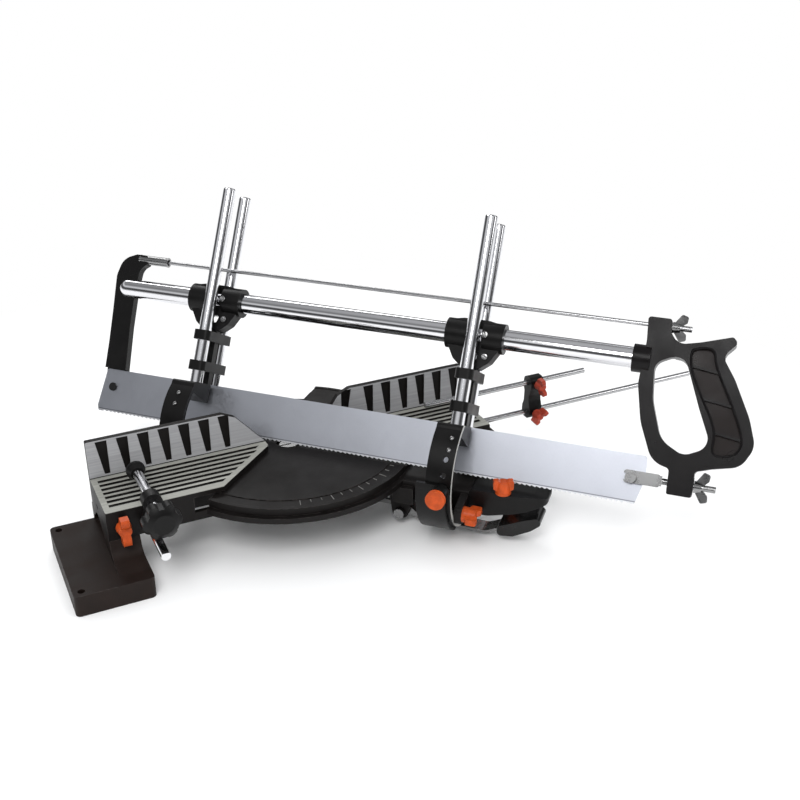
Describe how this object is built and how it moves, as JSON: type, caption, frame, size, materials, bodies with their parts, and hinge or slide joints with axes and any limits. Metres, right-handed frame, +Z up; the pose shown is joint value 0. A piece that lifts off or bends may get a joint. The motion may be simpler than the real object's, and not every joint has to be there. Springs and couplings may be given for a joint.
{
  "type": "mitre guillotine",
  "caption": "Frame saw sliding in two leaning pairs of posts over a mitre turntable, on a cast bed with two fenced wings, bench feet, a work clamp and a length stop.",
  "frame": {"origin": "middle of the bench bolt rectangle, on the plane the feet stand on", "axes": "+X along the fence to the right, +Y from the user towards the fence and beyond, +Z up off the bench"},
  "size_m": [0.762, 0.5381, 0.3036],
  "materials": {
    "cast": "satin",
    "foot_cast": "satin",
    "black_plastic": "satin",
    "handle_plastic": "satin",
    "steel_blade": "satin",
    "chrome_tube": "gloss",
    "zinc": "satin",
    "knob_orange": "satin",
    "knob_red": "satin",
    "rubber_grip": "gloss"
  },
  "bodies": {
    "bench_base": {"bed_casting": "cast", "foot_left": "foot_cast", "foot_right": "foot_cast", "pivot_bolt": "zinc"},
    "column_lock_left": {"column_screw_left": "knob_orange"},
    "column_lock_right": {"column_screw_right": "knob_orange"},
    "turntable": {"turntable": "cast", "front_shoe": "cast", "rear_shoe": "cast", "bevel_keeper": "black_plastic", "front_grip": "black_plastic", "lever_pin": "zinc"},
    "bevel_plunger": {"bevel_plunger": "knob_orange"},
    "index_lever": {"index_lever": "zinc", "lever_grip": "rubber_grip"},
    "bevel_lock": {"bevel_lock_knob": "knob_orange"},
    "mitre_lock": {"mitre_lock_knob": "knob_orange"},
    "saw_tower": {"front_bracket": "black_plastic", "rear_bracket": "black_plastic", "front_posts": "chrome_tube", "rear_posts": "chrome_tube"},
    "saw_carriage": {"front_guide": "black_plastic", "front_stem": "black_plastic", "front_upper_bar": "black_plastic", "front_lower_bar": "black_plastic", "rear_guide": "black_plastic", "rear_stem": "black_plastic", "rear_upper_bar": "black_plastic", "rear_lower_bar": "black_plastic"},
    "frame_saw": {"saw_blade": "steel_blade", "saw_tube": "chrome_tube", "rear_arm": "black_plastic", "blade_rivet": "zinc", "tension_rod": "chrome_tube", "saw_handle": "handle_plastic", "blade_fork": "zinc", "blade_pin": "zinc"},
    "tension_nut": {"tension_wing_nut": "zinc"},
    "blade_nut": {"blade_wing_nut": "zinc"},
    "clamp_bar": {"clamp_bar": "chrome_tube"},
    "clamp_bracket": {"clamp_bracket": "black_plastic"},
    "clamp_pad": {"clamp_pad": "black_plastic"},
    "clamp_spindle": {"clamp_screw": "chrome_tube", "clamp_knob": "black_plastic"},
    "stop_rod": {"stop_rod": "chrome_tube"},
    "stop_finger": {"stop_finger": "chrome_tube"},
    "stop_link": {"stop_link": "black_plastic"},
    "link_screw_lower": {"link_screw_lower": "knob_red"},
    "link_screw_upper": {"link_screw_upper": "knob_red"}
  },
  "joints": [
    {"name": "column_lock_left_turn", "type": "hinge", "parent": "bench_base", "child": "column_lock_left", "pos_m": [-0.1925, -0.0165, 0.054], "axis": [0, -1, 0], "range_deg": [0, 360]},
    {"name": "column_lock_right_turn", "type": "hinge", "parent": "bench_base", "child": "column_lock_right", "pos_m": [0.1925, -0.0165, 0.054], "axis": [0, -1, 0], "range_deg": [0, 360]},
    {"name": "mitre_turn", "type": "hinge", "parent": "bench_base", "child": "turntable", "pos_m": [0, 0.0535, 0.052], "axis": [0, 0, 1], "range_deg": [-67.5, 0]},
    {"name": "index_release", "type": "hinge", "parent": "turntable", "child": "index_lever", "pos_m": [0.09334, -0.03984, 0.015], "axis": [-0.7071, -0.7071, 0], "range_deg": [0, 2], "stiffness_Nm_per_rad": 3, "springref_deg": -3.44},
    {"name": "bevel_index_pull", "type": "slide", "parent": "turntable", "child": "bevel_plunger", "axis": [-0.7044, -0.7044, 0.0872], "range_m": [0, 0.005], "stiffness_N_per_m": 400},
    {"name": "bevel_lock_turn", "type": "hinge", "parent": "turntable", "child": "bevel_lock", "pos_m": [0.11809, -0.11974, 0.042], "axis": [0.7071, -0.7071, 0], "range_deg": [0, 360]},
    {"name": "mitre_lock_turn", "type": "hinge", "parent": "turntable", "child": "mitre_lock", "pos_m": [0.15768, -0.12823, 0.0615], "axis": [0, 0, 1], "range_deg": [0, 360]},
    {"name": "bevel_tilt", "type": "hinge", "parent": "turntable", "child": "saw_tower", "pos_m": [0, 0.0535, 0.072], "axis": [-0.7071, 0.7071, 0], "range_deg": [-30, 15]},
    {"name": "saw_lift", "type": "slide", "parent": "saw_tower", "child": "saw_carriage", "axis": [0.3536, 0.3536, 0.866], "range_m": [0, 0.1]},
    {"name": "saw_stroke", "type": "slide", "parent": "saw_carriage", "child": "frame_saw", "axis": [0.7071, -0.7071, 0], "range_m": [-0.12, 0.06]},
    {"name": "tension_nut_turn", "type": "hinge", "parent": "frame_saw", "child": "tension_nut", "pos_m": [0.32492, -0.15333, 0.21663], "axis": [0.7071, -0.7071, 0], "range_deg": [0, 360]},
    {"name": "blade_nut_turn", "type": "hinge", "parent": "frame_saw", "child": "blade_nut", "pos_m": [0.30229, -0.23535, 0.08845], "axis": [0.7071, -0.7071, 0], "range_deg": [0, 360]},
    {"name": "clamp_bar_slide", "type": "slide", "parent": "bench_base", "child": "clamp_bar", "axis": [0, -1, 0], "range_m": [0, 0.012]},
    {"name": "clamp_bracket_slide", "type": "slide", "parent": "clamp_bar", "child": "clamp_bracket", "axis": [0, -1, 0], "range_m": [0, 0.04]},
    {"name": "clamp_feed", "type": "slide", "parent": "clamp_bracket", "child": "clamp_pad", "axis": [0, 1, 0], "range_m": [-0.006, 0.018]},
    {"name": "clamp_turn", "type": "hinge", "parent": "clamp_pad", "child": "clamp_spindle", "pos_m": [-0.166, -0.0465, 0.084], "axis": [0, 1, 0], "range_deg": [-725, 2165]},
    {"name": "stop_rod_slide", "type": "slide", "parent": "bench_base", "child": "stop_rod", "axis": [1, 0, 0], "range_m": [-0.006, 0.03]},
    {"name": "stop_link_slide", "type": "slide", "parent": "stop_rod", "child": "stop_link", "axis": [1, 0, 0], "range_m": [-0.04, 0.19]},
    {"name": "stop_finger_slide", "type": "slide", "parent": "stop_link", "child": "stop_finger", "axis": [1, 0, 0], "range_m": [-0.03, 0.1]},
    {"name": "link_screw_lower_turn", "type": "hinge", "parent": "stop_link", "child": "link_screw_lower", "pos_m": [0.285, 0.0125, 0.054], "axis": [0, -1, 0], "range_deg": [0, 360]},
    {"name": "link_screw_upper_turn", "type": "hinge", "parent": "stop_link", "child": "link_screw_upper", "pos_m": [0.285, 0.0115, 0.091], "axis": [0, -1, 0], "range_deg": [0, 360]}
  ],
  "couplings": [
    {"joint": "clamp_turn", "follows": "clamp_feed", "rad_per_m": 2094.4}
  ]
}
